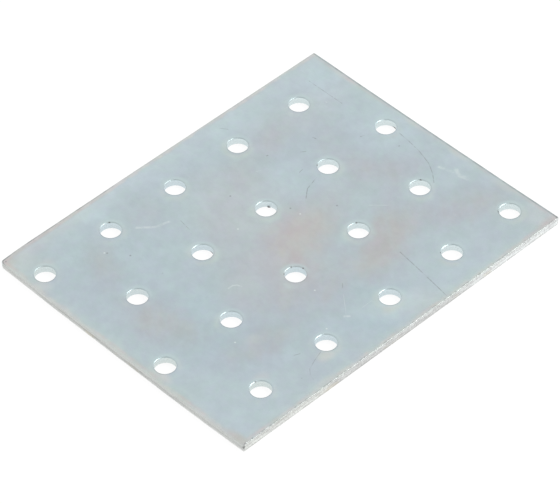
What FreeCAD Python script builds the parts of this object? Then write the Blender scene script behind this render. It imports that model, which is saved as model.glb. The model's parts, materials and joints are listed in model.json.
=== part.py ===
import FreeCAD, Part
import Sketcher

import math
import os

# A flat mending plate: sheet steel sheared to length and width, with four staggered rows of
# punched nail holes. Millimetres. The origin is at the middle of the underside, +X runs along
# the rows, and +Z is up, out of the face that the shear and the punches went in through.

SIZES = (
    ("plate_length", 100.0, "along the rows of holes"),
    ("plate_width", 80.0, "across the rows"),
    ("plate_thickness", 2.0, "of the sheet"),
    ("corner_radius", 0.35, "three corners, nearly as sheared"),
    ("worn_corner_radius", 1.0, "the knocked corner at -X +Y"),
    ("land_depth", 0.86, "from the upper face down to where the steel tore"),
    ("edge_rollover", 0.22, "radius that the shear drew into the upper edges"),
    ("edge_recess", 0.12, "how far the torn zone of an edge leans in"),
    ("hole_diameter", 5.0, "of the punch"),
    ("hole_draw_radius", 0.4, "how softly the face turns down into a hole"),
    ("hole_draw_depth", 0.12, "how far it turns down before the hole's straight wall"),
    ("hole_flare", 0.12, "how far the torn zone of a hole opens out"),
    ("hole_pitch", 20.0, "between the holes of a row"),
    ("row_spacing", 20.0, "between one row and the next"),
    ("row_stagger", 10.0, "a late row starts this much after an early one"),
    ("end_margin", 4.6, "from the -X end to the first hole of an early row"),
    ("side_margin", 10.6, "from the +Y side to the first row"),
    ("end_pull_in", 1.0, "the last hole of a late row is this much short of its pitch"),
    ("least_land", 2.0, "the least steel between a hole and an edge"),
    ("punch_overrun", 0.5, "how far a punch's profile stands off both faces"),
)

# Where things are, worked out from the sizes. Rows alternate from the +Y side: early, late,
# early, late. A row gets as many holes, and the plate as many rows, as leave the least land.
TORN_HEIGHT = "(sizes.plate_thickness - sizes.land_depth)"
HOLE_ROOM = "(sizes.hole_diameter / 2 + sizes.least_land)"
ROOM_X = f"(sizes.plate_length / 2 - {HOLE_ROOM})"
ROOM_Y = f"(sizes.plate_width / 2 - {HOLE_ROOM})"
EARLY_X = "(-sizes.plate_length / 2 + sizes.end_margin)"
EARLY_Y = "(sizes.plate_width / 2 - sizes.side_margin)"
EARLY_HOLES = f"floor(({ROOM_X} - {EARLY_X}) / sizes.hole_pitch) + 1"
LATE_X = f"({EARLY_X} + sizes.row_stagger)"
LATE_Y = f"({EARLY_Y} - sizes.row_spacing)"
LATE_STEPS = f"floor(({ROOM_X} - {LATE_X} + sizes.end_pull_in) / sizes.hole_pitch)"
LAST_X = f"({LATE_X} + {LATE_STEPS} * sizes.hole_pitch - sizes.end_pull_in)"
NEXT_LIKE_ROW = "(2 * sizes.row_spacing)"
EARLY_ROWS = f"floor(({EARLY_Y} + {ROOM_Y}) / {NEXT_LIKE_ROW}) + 1"
LATE_ROWS = f"floor(({LATE_Y} + {ROOM_Y}) / {NEXT_LIKE_ROW}) + 1"

# A sketch numbers the ends of a line or arc up from 1, and its own two axes down from -1.
START, END = range(1, 3)
ACROSS_AXIS, UP_AXIS = range(-1, -3, -1)
ORIGIN = (ACROSS_AXIS, START)
UP = FreeCAD.Vector(0, 0, 1)
QUARTER = math.pi / 2


def point(x, y):
    return FreeCAD.Vector(x, y, 0)


def make_sheet(doc):
    """The driving dimensions, one row each: name, value, meaning."""
    sheet = doc.addObject("Spreadsheet::Sheet", "sizes")
    for row, (name, value, meaning) in enumerate(SIZES, start=1):
        sheet.set(f"A{row}", name)
        sheet.set(f"B{row}", str(value))
        sheet.set(f"C{row}", meaning)
        sheet.setAlias(f"B{row}", name)
    doc.recompute()
    return sheet


def origin_feature(body, role):
    return next(item for item in body.Origin.OriginFeatures if item.Role == role)


def sketch_on(body, name, plane):
    sketch = body.newObject("Sketcher::SketchObject", name)
    sketch.AttachmentSupport = (origin_feature(body, plane), [""])
    sketch.MapMode = "FlatFace"
    return sketch


def tie(sketch, *constraint):
    return sketch.addConstraint(Sketcher.Constraint(*constraint))


def drive(sketch, name, size, *constraint):
    """Add one dimension to a sketch, named and bound to the sizes."""
    sketch.renameConstraint(tie(sketch, *constraint), name)
    sketch.setExpression(f"Constraints.{name}", size)


def draw_outline(sketch, sheet):
    """The plate seen from above: four straight cuts with an arc at each corner."""
    half_x = sheet.plate_length / 2
    half_y = sheet.plate_width / 2
    small = sheet.corner_radius
    worn = sheet.worn_corner_radius
    corners = ((1, -1, small), (1, 1, small), (-1, 1, worn), (-1, -1, small))
    arcs = []
    for turn, (side_x, side_y, radius) in enumerate(corners):
        centre = point(side_x * (half_x - radius), side_y * (half_y - radius))
        circle = Part.Circle(centre, UP, radius)
        arcs.append(Part.ArcOfCircle(circle, (turn - 1) * QUARTER, turn * QUARTER))
    for turn, arc in enumerate(arcs):
        sketch.addGeometry(Part.LineSegment(arcs[turn - 1].EndPoint, arc.StartPoint))
        sketch.addGeometry(arc)

    pieces = range(8)
    front, arc_a, right, arc_b, back, arc_worn, left, arc_c = pieces
    for piece in pieces:
        tie(sketch, "Tangent", piece - 1 if piece else arc_c, END, piece, START)
    for line in (front, back):
        tie(sketch, "Horizontal", line)
    for line in (left, right):
        tie(sketch, "Vertical", line)
    drive(sketch, "length", "sizes.plate_length", "DistanceX", left, START, right, START, 2 * half_x)
    drive(sketch, "half_length", "sizes.plate_length / 2", "DistanceX", left, START, *ORIGIN, half_x)
    drive(sketch, "width", "sizes.plate_width", "DistanceY", front, START, back, START, 2 * half_y)
    drive(sketch, "half_width", "sizes.plate_width / 2", "DistanceY", front, START, *ORIGIN, half_y)
    drive(sketch, "corner_worn", "sizes.worn_corner_radius", "Radius", arc_worn, worn)
    for name, arc in (("corner_a", arc_a), ("corner_b", arc_b), ("corner_c", arc_c)):
        drive(sketch, name, "sizes.corner_radius", "Radius", arc, small)


def make_blank(body, sheet):
    """The sheared blank: a straight land below the upper face, then a torn zone that leans in."""
    outline = sketch_on(body, "outline", "XY_Plane")
    outline.setExpression("AttachmentOffset.Base.z", TORN_HEIGHT)
    draw_outline(outline, sheet)

    land = body.newObject("PartDesign::Pad", "sheared_land")
    land.Profile = outline
    land.setExpression("Length", "sizes.land_depth")
    body.Document.recompute()

    torn = body.newObject("PartDesign::Pad", "torn_zone")
    torn.Profile = outline
    torn.Reversed = True
    torn.setExpression("Length", TORN_HEIGHT)
    torn.setExpression("TaperAngle", f"-atan(sizes.edge_recess / {TORN_HEIGHT})")
    body.Document.recompute()

    upper_face = max(torn.Shape.Faces, key=lambda face: face.CenterOfMass.z)
    upper_edges = [
        f"Edge{number}"
        for number, edge in enumerate(torn.Shape.Edges, start=1)
        if any(edge.isSame(other) for other in upper_face.Edges)
    ]
    rollover = body.newObject("PartDesign::Fillet", "edge_rollover")
    rollover.Base = (torn, upper_edges)
    rollover.setExpression("Radius", "sizes.edge_rollover")
    body.Document.recompute()


def draw_punched_section(sketch, sheet):
    """Half the section of a punched hole, with the hole's axis on the sketch's upright axis.

    From the upper face down: an arc where the punch drew the face in, a straight wall where it
    sheared, and a cone where the slug tore out.
    """
    top = sheet.plate_thickness
    depth = sheet.hole_draw_depth
    draw = sheet.hole_draw_radius
    over = sheet.punch_overrun
    wall_x = sheet.hole_diameter / 2
    torn_x = wall_x + sheet.hole_flare
    mouth_x = wall_x + math.sqrt(depth * (2 * draw - depth))
    tear_z = top - sheet.land_depth
    drawn_angle = math.acos(1 - depth / draw)
    lower = (
        point(0, -over),
        point(torn_x, -over),
        point(torn_x, 0),
        point(wall_x, tear_z),
        point(wall_x, top - depth),
    )
    upper = (point(mouth_x, top), point(mouth_x, top + over), point(0, top + over), lower[0])
    for first, second in zip(lower, lower[1:]):
        sketch.addGeometry(Part.LineSegment(first, second))
    circle = Part.Circle(point(mouth_x, top - draw), UP, draw)
    sketch.addGeometry(Part.ArcOfCircle(circle, QUARTER, QUARTER + drawn_angle))
    for first, second in zip(upper, upper[1:]):
        sketch.addGeometry(Part.LineSegment(first, second))

    sill, foot, cone, wall, drawn, riser, lid, axis = range(8)
    chained = (sill, foot), (foot, cone), (cone, wall), (riser, lid), (lid, axis), (axis, sill)
    for first, second in chained:
        tie(sketch, "Coincident", first, END, second, START)
    tie(sketch, "Coincident", wall, END, drawn, END)
    tie(sketch, "Perpendicular", drawn, START, riser, START)
    for line in (sill, lid):
        tie(sketch, "Horizontal", line)
    for line in (foot, wall, riser, axis):
        tie(sketch, "Vertical", line)
    tie(sketch, "PointOnObject", axis, END, UP_AXIS)
    tie(sketch, "PointOnObject", foot, END, ACROSS_AXIS)
    drive(sketch, "radius", "sizes.hole_diameter / 2", "DistanceX", *ORIGIN, wall, START, wall_x)
    drive(sketch, "flare", "sizes.hole_flare", "DistanceX", cone, END, cone, START, torn_x - wall_x)
    drive(sketch, "tear", TORN_HEIGHT, "DistanceY", *ORIGIN, cone, END, tear_z)
    drive(sketch, "draw_radius", "sizes.hole_draw_radius", "Radius", drawn, draw)
    drive(sketch, "draw_depth", "sizes.hole_draw_depth", "DistanceY", drawn, END, drawn, START, depth)
    drive(sketch, "thickness", "sizes.plate_thickness", "DistanceY", *ORIGIN, riser, START, top)
    drive(sketch, "run_in", "sizes.punch_overrun", "DistanceY", riser, START, riser, END, over)
    drive(sketch, "run_out", "sizes.punch_overrun", "DistanceY", foot, START, foot, END, over)


def punch(body, sheet, name, x, y):
    """Punch one hole, whose axis stands at x, y."""
    section = sketch_on(body, f"{name}_section", "XZ_Plane")
    section.setExpression("AttachmentOffset.Base.x", x)
    section.setExpression("AttachmentOffset.Base.z", f"-{y}")
    draw_punched_section(section, sheet)
    hole = body.newObject("PartDesign::Groove", name)
    hole.Profile = section
    hole.ReferenceAxis = (section, ["V_Axis"])
    hole.Angle = 360
    body.Document.recompute()
    return hole


def run_of_copies(body, name, axis, backwards, spacing, count):
    """One straight run, as a step of a grid."""
    run = body.newObject("PartDesign::LinearPattern", name)
    run.Direction = (origin_feature(body, axis), [""])
    run.Reversed = backwards
    run.Mode = "Spacing"
    run.setExpression("Offset", spacing)
    run.setExpression("Occurrences", count)
    return run


def repeat(body, name, hole, holes, rows):
    """Repeat a hole along its row, and the row on every second row line."""
    along = run_of_copies(body, f"{name}_along", "X_Axis", False, "sizes.hole_pitch", holes)
    across = run_of_copies(body, f"{name}_across", "Y_Axis", True, NEXT_LIKE_ROW, rows)
    grid = body.newObject("PartDesign::MultiTransform", name)
    grid.Originals = [hole]
    grid.Transformations = [along, across]
    body.Tip = grid
    body.Document.recompute()


def make_plate(doc, sheet):
    body = doc.addObject("PartDesign::Body", "plate")
    body.Label = "plate"
    make_blank(body, sheet)
    early_hole = punch(body, sheet, "early_hole", EARLY_X, EARLY_Y)
    repeat(body, "early_rows", early_hole, EARLY_HOLES, EARLY_ROWS)
    late_hole = punch(body, sheet, "late_hole", LATE_X, LATE_Y)
    repeat(body, "late_rows", late_hole, LATE_STEPS, LATE_ROWS)
    last_hole = punch(body, sheet, "last_hole", LAST_X, LATE_Y)
    repeat(body, "last_holes", last_hole, "1", LATE_ROWS)
    return body


def check(doc, pieces):
    """Stop if anything failed to build, or a piece isn't one sound solid."""
    for item in doc.Objects:
        if "Invalid" in item.State or "Error" in item.State:
            raise RuntimeError(f"{item.Name} failed: {item.State}")
    for piece in pieces:
        if piece.Shape.isNull() or not piece.Shape.isValid():
            raise RuntimeError(f"{piece.Label} has no valid shape")
        if len(piece.Shape.Solids) != 1:
            raise RuntimeError(f"{piece.Label} has {len(piece.Shape.Solids)} solids")


def main():
    doc = FreeCAD.newDocument("mending_plate")
    sheet = make_sheet(doc)
    pieces = [make_plate(doc, sheet)]
    doc.recompute()
    check(doc, pieces)
    os.makedirs("parts", exist_ok=True)
    for piece in pieces:
        piece.Shape.exportStep(os.path.join("parts", f"{piece.Label}.step"))
        box = piece.Shape.optimalBoundingBox()
        print(f"{piece.Label}: {box.XLength:.3f} x {box.YLength:.3f} x {box.ZLength:.3f} mm")
        print(f"{piece.Shape.Volume:.2f} mm3 of steel, {len(piece.Shape.Faces)} faces")


main()
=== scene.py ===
# %% [markdown]
# A mending plate joins two timbers edge to edge. It is sheet steel, sheared to size and punched with
# rows of nail holes, then plated with zinc and dipped in a pale blue passivation. This lesson
# dresses its CAD model. The look comes from the soft mouths that the punch drew into the face, the
# bright land and dull torn zone of the sheared edges, the cloudy film, and a few scratches.

# %% Load the frame
import json
import math

import bmesh
import bpy
from mathutils import Matrix, Vector


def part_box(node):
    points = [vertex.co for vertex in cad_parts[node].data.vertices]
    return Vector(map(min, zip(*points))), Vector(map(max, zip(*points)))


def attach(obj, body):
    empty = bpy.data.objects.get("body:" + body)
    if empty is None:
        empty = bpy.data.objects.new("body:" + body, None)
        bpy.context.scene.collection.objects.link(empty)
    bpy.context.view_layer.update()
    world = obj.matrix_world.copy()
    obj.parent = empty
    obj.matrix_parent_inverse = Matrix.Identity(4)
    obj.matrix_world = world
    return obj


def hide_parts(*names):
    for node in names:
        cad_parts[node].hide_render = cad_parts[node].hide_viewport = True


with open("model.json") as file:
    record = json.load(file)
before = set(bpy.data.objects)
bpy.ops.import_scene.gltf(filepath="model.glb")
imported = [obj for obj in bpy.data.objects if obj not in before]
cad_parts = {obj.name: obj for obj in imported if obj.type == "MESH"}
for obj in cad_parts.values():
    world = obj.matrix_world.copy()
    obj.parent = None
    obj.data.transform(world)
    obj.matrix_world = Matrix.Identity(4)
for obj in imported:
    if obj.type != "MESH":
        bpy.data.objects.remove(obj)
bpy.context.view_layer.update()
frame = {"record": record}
scene = bpy.context.scene
MM = 0.001
TOUCH = 0.005 * MM
ORIGIN = (0, 0, 0)

# %% Read the plate's size
box_low, box_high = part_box("plate")
HALF_LENGTH = (box_high.x - box_low.x) / 2
HALF_WIDTH = (box_high.y - box_low.y) / 2
TOP = box_high.z
print(f"plate {2 * HALF_LENGTH / MM:.2f} x {2 * HALF_WIDTH / MM:.2f} x {TOP / MM:.2f} mm")

# %% [markdown]
# The record lists the holes as bolt patterns, each a middle and how far apart its holes are, so the
# dressed plate is punched where the CAD plate is.

# %% Find the rows of holes
HOLE_PITCH = 20 * MM


def pattern_holes(mount):
    middle_x, middle_y, _ = mount["pos_m"]
    half_x = mount["dims"].get("spacing_x_mm", 0) * MM / 2
    half_y = mount["dims"].get("spacing_y_mm", 0) * MM / 2
    return {
        (round(middle_x + side_x * half_x, 6), round(middle_y + side_y * half_y, 6))
        for side_x in (-1, 1)
        for side_y in (-1, 1)
    }


holes = set()
for mount in frame["record"]["mounts"]:
    if mount["kind"] == "bolt_pattern":
        holes |= pattern_holes(mount)
rows = {}
for hole_x, hole_y in sorted(holes):
    rows.setdefault(hole_y, []).append(hole_x)
print(len(holes), "holes in", len(rows), "rows")

# %% [markdown]
# Operators act on what is selected, so these helpers select what a step needs.


# %% Selection helpers
def only(obj):
    """Select just one object and make it the active one."""
    bpy.ops.object.select_all(action="DESELECT")
    obj.select_set(True)
    bpy.context.view_layer.objects.active = obj


def edit_edges(obj, wanted):
    """Enter edit mode with just the open edges selected whose two ends pass the test."""
    only(obj)
    bpy.ops.object.mode_set(mode="EDIT")
    bpy.ops.mesh.select_mode(type="EDGE")
    bpy.ops.mesh.select_all(action="DESELECT")
    shape = bmesh.from_edit_mesh(obj.data)
    for edge in shape.edges:
        if edge.is_boundary and all(wanted(corner.co) for corner in edge.verts):
            edge.select_set(True)
    bmesh.update_edit_mesh(obj.data)


def edit_all():
    bpy.ops.object.mode_set(mode="EDIT")
    bpy.ops.mesh.select_all(action="SELECT")


def back_to_object():
    bpy.ops.object.mode_set(mode="OBJECT")


def merge_touching():
    edit_all()
    bpy.ops.mesh.remove_doubles(threshold=TOUCH)
    back_to_object()


def extrude_step(scale, rise=0):
    """Extrude the selected edges, scale them about the origin and raise them."""
    bpy.ops.mesh.extrude_edges_indiv()
    bpy.ops.transform.resize(value=scale, center_override=ORIGIN)
    bpy.ops.transform.translate(value=(0, 0, rise))


def add_circle(radius, middle_x):
    """A wire circle, whose number of points fits a cell's outline."""
    bpy.ops.mesh.primitive_circle_add(
        vertices=RING_STEPS, radius=radius, fill_type="NOTHING", location=(middle_x, 0, 0)
    )


# %% [markdown]
# The face is meshed as square cells with one hole each. A cell is a square wire and a circle with as
# many points, bridged. A row is offset by half a cell from the next, and a side has an even number
# of steps, so that the cells of neighbouring rows share their points.

# %% Model one cell of the face
SIDE_STEPS = 24
RING_STEPS = 4 * SIDE_STEPS
CELL_RINGS = 3
COLLAR_RADIUS = 3.2 * MM


def model_cell(name, hole_shift):
    """A square cell round the origin, with a hole that may sit off its middle."""
    bpy.ops.object.select_all(action="DESELECT")
    bpy.ops.mesh.primitive_plane_add(size=HOLE_PITCH, location=ORIGIN)
    cell = bpy.context.object
    cell.name = name
    bpy.ops.object.mode_set(mode="EDIT")
    bpy.ops.mesh.delete(type="ONLY_FACE")
    bpy.ops.mesh.select_all(action="SELECT")
    bpy.ops.mesh.subdivide(number_cuts=SIDE_STEPS - 1)
    add_circle(COLLAR_RADIUS, hole_shift)
    bpy.ops.mesh.select_all(action="SELECT")
    bpy.ops.mesh.bridge_edge_loops(number_cuts=CELL_RINGS, interpolation="LINEAR")
    back_to_object()
    return cell


def copy_at(source, name, place):
    """A copy with its own mesh, moved inside that mesh."""
    copy = source.copy()
    copy.data = source.data.copy()
    copy.name = name
    copy.data.transform(Matrix.Translation(place))
    scene.collection.objects.link(copy)
    return copy


def join_all(pieces, name):
    only(pieces[0])
    for piece in pieces:
        piece.select_set(True)
    bpy.ops.object.join()
    pieces[0].name = name
    return pieces[0]


# %% [markdown]
# The last hole of two rows is punched one millimetre short of the pitch. Its cell stays on the grid
# and only the hole moves, so there are two kinds of cell.

# %% Lay the cells out
cell_kinds = {}
cells = []
for row_y, row_x in rows.items():
    for step, hole_x in enumerate(row_x):
        cell_x = row_x[0] + step * HOLE_PITCH
        hole_shift = round(hole_x - cell_x, 6)
        if hole_shift not in cell_kinds:
            cell_kinds[hole_shift] = model_cell(f"cell_kind_{len(cell_kinds)}", hole_shift)
        kind = cell_kinds[hole_shift]
        cells.append(copy_at(kind, f"cell_{len(cells)}", (cell_x, row_y, 0)))
for kind in cell_kinds.values():
    bpy.data.objects.remove(kind)
sheet = join_all(cells, "upper_sheet")
merge_touching()
print("sheet of cells:", len(sheet.data.polygons), "faces")

# %% [markdown]
# A row's cells stop short of one end of the plate. Its border is extruded one side step at a time,
# so that it shares points with the rows beside it. The sheet is then bisected to a rectangle a
# little inside the plate's edges, which get their own mesh.

# %% Carry on the row ends and cut the sheet
SIDE_STEP = HOLE_PITCH / SIDE_STEPS
EDGE_STRIP = 0.8 * MM


def carry_on(border_x, row_y, direction):
    """Extrude one row's border until it is past the plate's end."""
    half = HOLE_PITCH / 2 + TOUCH
    edit_edges(sheet, lambda co: abs(co.x - border_x) < TOUCH and abs(co.y - row_y) < half)
    steps = math.ceil((HALF_LENGTH - abs(border_x)) / SIDE_STEP)
    for _ in range(steps):
        bpy.ops.mesh.extrude_edges_indiv()
        bpy.ops.transform.translate(value=(direction * SIDE_STEP, 0, 0))
    back_to_object()


for row_y, row_x in rows.items():
    first_border = row_x[0] - HOLE_PITCH / 2
    last_border = row_x[0] + (len(row_x) - 0.5) * HOLE_PITCH
    if first_border > -HALF_LENGTH:
        carry_on(first_border, row_y, -1)
    if last_border < HALF_LENGTH:
        carry_on(last_border, row_y, 1)
only(sheet)
merge_touching()

SHEET_X = HALF_LENGTH - EDGE_STRIP
SHEET_Y = HALF_WIDTH - EDGE_STRIP
bpy.ops.object.mode_set(mode="EDIT")
for side_x, side_y in ((1, 0), (-1, 0), (0, 1), (0, -1)):
    bpy.ops.mesh.select_all(action="SELECT")
    bpy.ops.mesh.bisect(
        plane_co=(side_x * SHEET_X, side_y * SHEET_Y, 0),
        plane_no=(side_x, side_y, 0),
        clear_outer=True,
        threshold=TOUCH / 100,
    )
back_to_object()

# %% [markdown]
# The same sheet serves both faces. Each copy gets a narrow strip round it, whose outer edges are
# divided, because the rim needs finer points than the face. The corners are drawn in to small arcs,
# and one of them has been knocked rounder than the rest.

# %% Add the strip that reaches the rim
ROLLOVER = 0.13 * MM
FOOT_INSET = 0.05 * MM
RIM_CUTS = 3
CORNER_RADIUS = 0.35 * MM
WORN_RADIUS = 1 * MM


def on_sheet_rim(co):
    return abs(abs(co.x) - SHEET_X) < TOUCH or abs(abs(co.y) - SHEET_Y) < TOUCH


def scale_to(old_inset, new_inset):
    """The scale about the middle that moves a rim from one inset to another."""
    return (
        (HALF_LENGTH - new_inset) / (HALF_LENGTH - old_inset),
        (HALF_WIDTH - new_inset) / (HALF_WIDTH - old_inset),
        1,
    )


def round_corners(shape, inset):
    """Draw the selected points near each corner in to an arc."""
    for side_x in (-1, 1):
        for side_y in (-1, 1):
            radius = WORN_RADIUS if (side_x, side_y) == (-1, 1) else CORNER_RADIUS
            centre_x = side_x * (HALF_LENGTH - inset - radius)
            centre_y = side_y * (HALF_WIDTH - inset - radius)
            for point in shape.verts:
                off_x = (point.co.x - centre_x) * side_x
                off_y = (point.co.y - centre_y) * side_y
                if point.select and off_x > 0 and off_y > 0:
                    reach = math.hypot(off_x, off_y)
                    point.co.x = centre_x + side_x * off_x * radius / reach
                    point.co.y = centre_y + side_y * off_y * radius / reach


def add_rim_strip(piece, inset):
    edit_edges(piece, on_sheet_rim)
    extrude_step(scale_to(EDGE_STRIP, inset))
    bpy.ops.mesh.subdivide(number_cuts=RIM_CUTS)
    shape = bmesh.from_edit_mesh(piece.data)
    round_corners(shape, inset)
    bmesh.update_edit_mesh(piece.data)
    back_to_object()


lower_sheet = copy_at(sheet, "lower_sheet", ORIGIN)
sheet.data.transform(Matrix.Translation((0, 0, TOP)))
add_rim_strip(lower_sheet, FOOT_INSET)
add_rim_strip(sheet, ROLLOVER)

# %% [markdown]
# The shear pressed the upper edge into a small rollover and cut a smooth land, and then the steel
# tore. The edge's section is a list of insets from the outline and heights, and the rim is extruded
# down it one step at a time.

# %% Extrude the sheared edge
LAND_FOOT = 1.14 * MM
ROLL_STEPS = 5
edge_section = []
for step in range(1, ROLL_STEPS + 1):
    turn = step / ROLL_STEPS * math.pi / 2
    edge_section.append((ROLLOVER * (1 - math.sin(turn)), TOP - ROLLOVER * (1 - math.cos(turn))))
edge_section += [
    (0, 1.58 * MM),
    (0, 1.36 * MM),
    (0, 1.20 * MM),
    (0.01 * MM, LAND_FOOT),
    (0.06 * MM, 1.07 * MM),
    (0.05 * MM, 1.00 * MM),
    (0.02 * MM, 0.90 * MM),
    (0.02 * MM, 0.70 * MM),
    (0.025 * MM, 0.48 * MM),
    (0.03 * MM, 0.27 * MM),
    (0.035 * MM, 0.08 * MM),
    (FOOT_INSET, 0),
]


def on_upper_rim(co):
    return abs(co.x) > SHEET_X + TOUCH or abs(co.y) > SHEET_Y + TOUCH


edit_edges(sheet, on_upper_rim)
inset, height = ROLLOVER, TOP
for next_inset, next_height in edge_section:
    extrude_step(scale_to(inset, next_inset), next_height - height)
    inset, height = next_inset, next_height
back_to_object()

# %% [markdown]
# The punch pulled the face down into a soft mouth before it cut, then left the same land and torn
# zone as the shear. A hole's wall is extruded ring by ring in the same way, once, and copied.

# %% Model one hole's wall
HOLE_RADIUS = 2.5 * MM
MOUTH_RADIUS = 2.80 * MM
MOUTH_DEPTH = 0.13 * MM
MOUTH_CURVE = 1.6
MOUTH_STEPS = (2.80, 2.73, 2.66, 2.60, 2.55, 2.51)


def mouth_height(radius):
    """The face's height in the drawn-in mouth: flat at its rim, steeper towards the hole."""
    share = (MOUTH_RADIUS - radius) / (MOUTH_RADIUS - HOLE_RADIUS)
    return TOP - MOUTH_DEPTH * share**MOUTH_CURVE


hole_section = [(step * MM, mouth_height(step * MM)) for step in MOUTH_STEPS]
hole_section += [
    (2.502 * MM, 1.85 * MM),
    (HOLE_RADIUS, 1.79 * MM),
    (HOLE_RADIUS, 1.46 * MM),
    (HOLE_RADIUS, 1.20 * MM),
    (2.505 * MM, LAND_FOOT),
    (2.53 * MM, 1.07 * MM),
    (2.53 * MM, 1.00 * MM),
    (2.55 * MM, 0.70 * MM),
    (2.58 * MM, 0.35 * MM),
    (2.61 * MM, 0.06 * MM),
    (2.65 * MM, 0),
    (COLLAR_RADIUS, 0),
]
bpy.ops.object.select_all(action="DESELECT")
add_circle(COLLAR_RADIUS, 0)
hole_wall = bpy.context.object
hole_wall.name = "hole_wall"
edit_all()
bpy.ops.transform.translate(value=(0, 0, TOP))
radius, height = COLLAR_RADIUS, TOP
for next_radius, next_height in hole_section:
    share = next_radius / radius
    extrude_step((share, share, 1), next_height - height)
    radius, height = next_radius, next_height
back_to_object()

# %% Join faces, edge and holes into one closed piece
walls = [
    copy_at(hole_wall, f"hole_wall_{index}", (hole_x, hole_y, 0))
    for index, (hole_x, hole_y) in enumerate(sorted(holes))
]
bpy.data.objects.remove(hole_wall)
plate = join_all([sheet, lower_sheet, *walls], "mending_plate")
merge_touching()
edit_all()
bpy.ops.mesh.normals_make_consistent(inside=False)
back_to_object()

shape = bmesh.new()
shape.from_mesh(plate.data)
open_edges = sum(1 for edge in shape.edges if not edge.is_manifold)
volume = shape.calc_volume(signed=True) / MM**3
shape.free()
print(f"open edges: {open_edges}, volume: {volume:.1f} mm3, faces: {len(plate.data.polygons)}")

# %% [markdown]
# Each face is given its material while the rings still lie at even heights: the plated faces with
# their soft mouths, the walls of the holes, and the smooth land and torn zone of the sheared edge.
# Three attributes are stored on the points: how far a point is from the nearest hole's middle, how
# far from a place a little to the side where the bath ran off, and how near the line of the tear.

# %% Sort the surfaces
FACE_SLOT, HOLE_SLOT, LAND_SLOT, TORN_SLOT = range(4)
LAND_TOP = 1.79 * MM
TORN_TOP = LAND_FOOT - 0.02 * MM
FOOT = 0.03 * MM
TEAR_MIDDLE = 1.06 * MM
TEAR_SPREAD = 0.055 * MM
DRAIN_SHIFT = Vector((-0.5, -0.5, 0)) * MM


def hole_gap(place):
    """How far a place is from the middle of the nearest hole, seen from above."""
    return min(math.hypot(place.x - hole_x, place.y - hole_y) for hole_x, hole_y in holes)


for facet in plate.data.polygons:
    height = facet.center.z
    if height > LAND_TOP or height < FOOT:
        facet.material_index = FACE_SLOT
    elif hole_gap(facet.center) < COLLAR_RADIUS:
        facet.material_index = HOLE_SLOT
    elif height > TORN_TOP:
        facet.material_index = LAND_SLOT
    else:
        facet.material_index = TORN_SLOT

STORED = {
    "hole_distance": lambda co: hole_gap(co) / MM,
    "drain_distance": lambda co: hole_gap(co - DRAIN_SHIFT) / MM,
    "tear_line": lambda co: math.exp(-(((co.z - TEAR_MIDDLE) / TEAR_SPREAD) ** 2)),
}
for name, value_at in STORED.items():
    stored = plate.data.attributes.new(name, "FLOAT", "POINT")
    for index, point in enumerate(plate.data.vertices):
        stored.data[index].value = value_at(point.co)

# %% [markdown]
# Torn steel is never even. Displace modifiers with cloud textures move the points a few hundredths
# of a millimetre: the tear line up and down, the torn zone in and out, and little bites out of the
# upper rim. Vertex groups keep each to its own zone. The surface is only ever drawn in, so the
# plate keeps its size.

# %% Roughen the torn steel
WAVE_REACH = 0.5 * MM
RIM_BITE_REACH = 0.25 * MM
CALM_EDGE = 0.35
SMOOTH_RIM = 0.12
BITES_END = -20 * MM


def weight_group(name, weight_of):
    group = plate.vertex_groups.new(name=name)
    for index, point in enumerate(plate.data.vertices):
        weight = weight_of(point.co)
        if weight > 0:
            group.add([index], min(weight, 1), "REPLACE")


def displace(name, size, direction, strength, middle):
    """Move the points of the vertex group of that name by a cloud texture, and apply it."""
    texture = bpy.data.textures.new(name, "CLOUDS")
    texture.noise_scale = size
    texture.noise_depth = 3
    modifier = plate.modifiers.new(name, "DISPLACE")
    modifier.texture = texture
    modifier.texture_coords = "LOCAL"
    modifier.vertex_group = name
    modifier.direction = direction
    modifier.strength = strength
    modifier.mid_level = middle
    only(plate)
    bpy.ops.object.modifier_apply(modifier=name)


def rim_gap(co):
    """How far a place is inside the plate's outline."""
    return min(HALF_LENGTH - abs(co.x), HALF_WIDTH - abs(co.y))


def torn_weight(co):
    if not FOOT < co.z < LAND_FOOT:
        return 0
    return 1 if rim_gap(co) < EDGE_STRIP else CALM_EDGE


def bite_weight(co):
    near = 1 - rim_gap(co) / RIM_BITE_REACH
    if co.z < LAND_TOP or near <= 0:
        return 0
    if co.y > -SHEET_Y:
        return CALM_EDGE
    return 1 if co.x < BITES_END else SMOOTH_RIM


weight_group("tear_wave", lambda co: 1 - abs(co.z - TEAR_MIDDLE) / WAVE_REACH)
weight_group("torn_grain", torn_weight)
weight_group("rim_bites", bite_weight)
displace("tear_wave", 1.1 * MM, "Z", 0.30 * MM, 0.5)
displace("torn_grain", 0.28 * MM, "NORMAL", 0.11 * MM, 0.8)
displace("rim_bites", 0.45 * MM, "NORMAL", 0.07 * MM, 0.85)

# %% [markdown]
# The punch has left a burr at the foot of three holes. Each is a place in millimetres with a size
# along X, Y and Z. The wall's points near it are drawn towards the hole's middle.

# %% Burrs in three holes
BURRS = (
    ((6.65, 10.7, 0.15), (0.38, 0.38, 0.45)),
    ((-12.95, 8.95, 0.25), (0.22, 0.75, 0.25)),
    ((46.05, 8.95, 0.25), (0.22, 0.75, 0.25)),
)
BURR_PULLS = (0.34, 0.06, 0.06)
BURR_REACH = 1.5
for (middle, size), pull in zip(BURRS, BURR_PULLS):
    nearest = min(holes, key=lambda hole: math.dist(hole, (middle[0] * MM, middle[1] * MM)))
    for point in plate.data.vertices:
        away = [(point.co[axis] / MM - middle[axis]) / (BURR_REACH * size[axis]) for axis in range(3)]
        reach = Vector(away).length
        inward = Vector((nearest[0] - point.co.x, nearest[1] - point.co.y, 0))
        if reach < 1 and inward.length < MOUTH_RADIUS:
            point.co += inward.normalized() * pull * MM * (1 - reach * reach)

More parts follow.
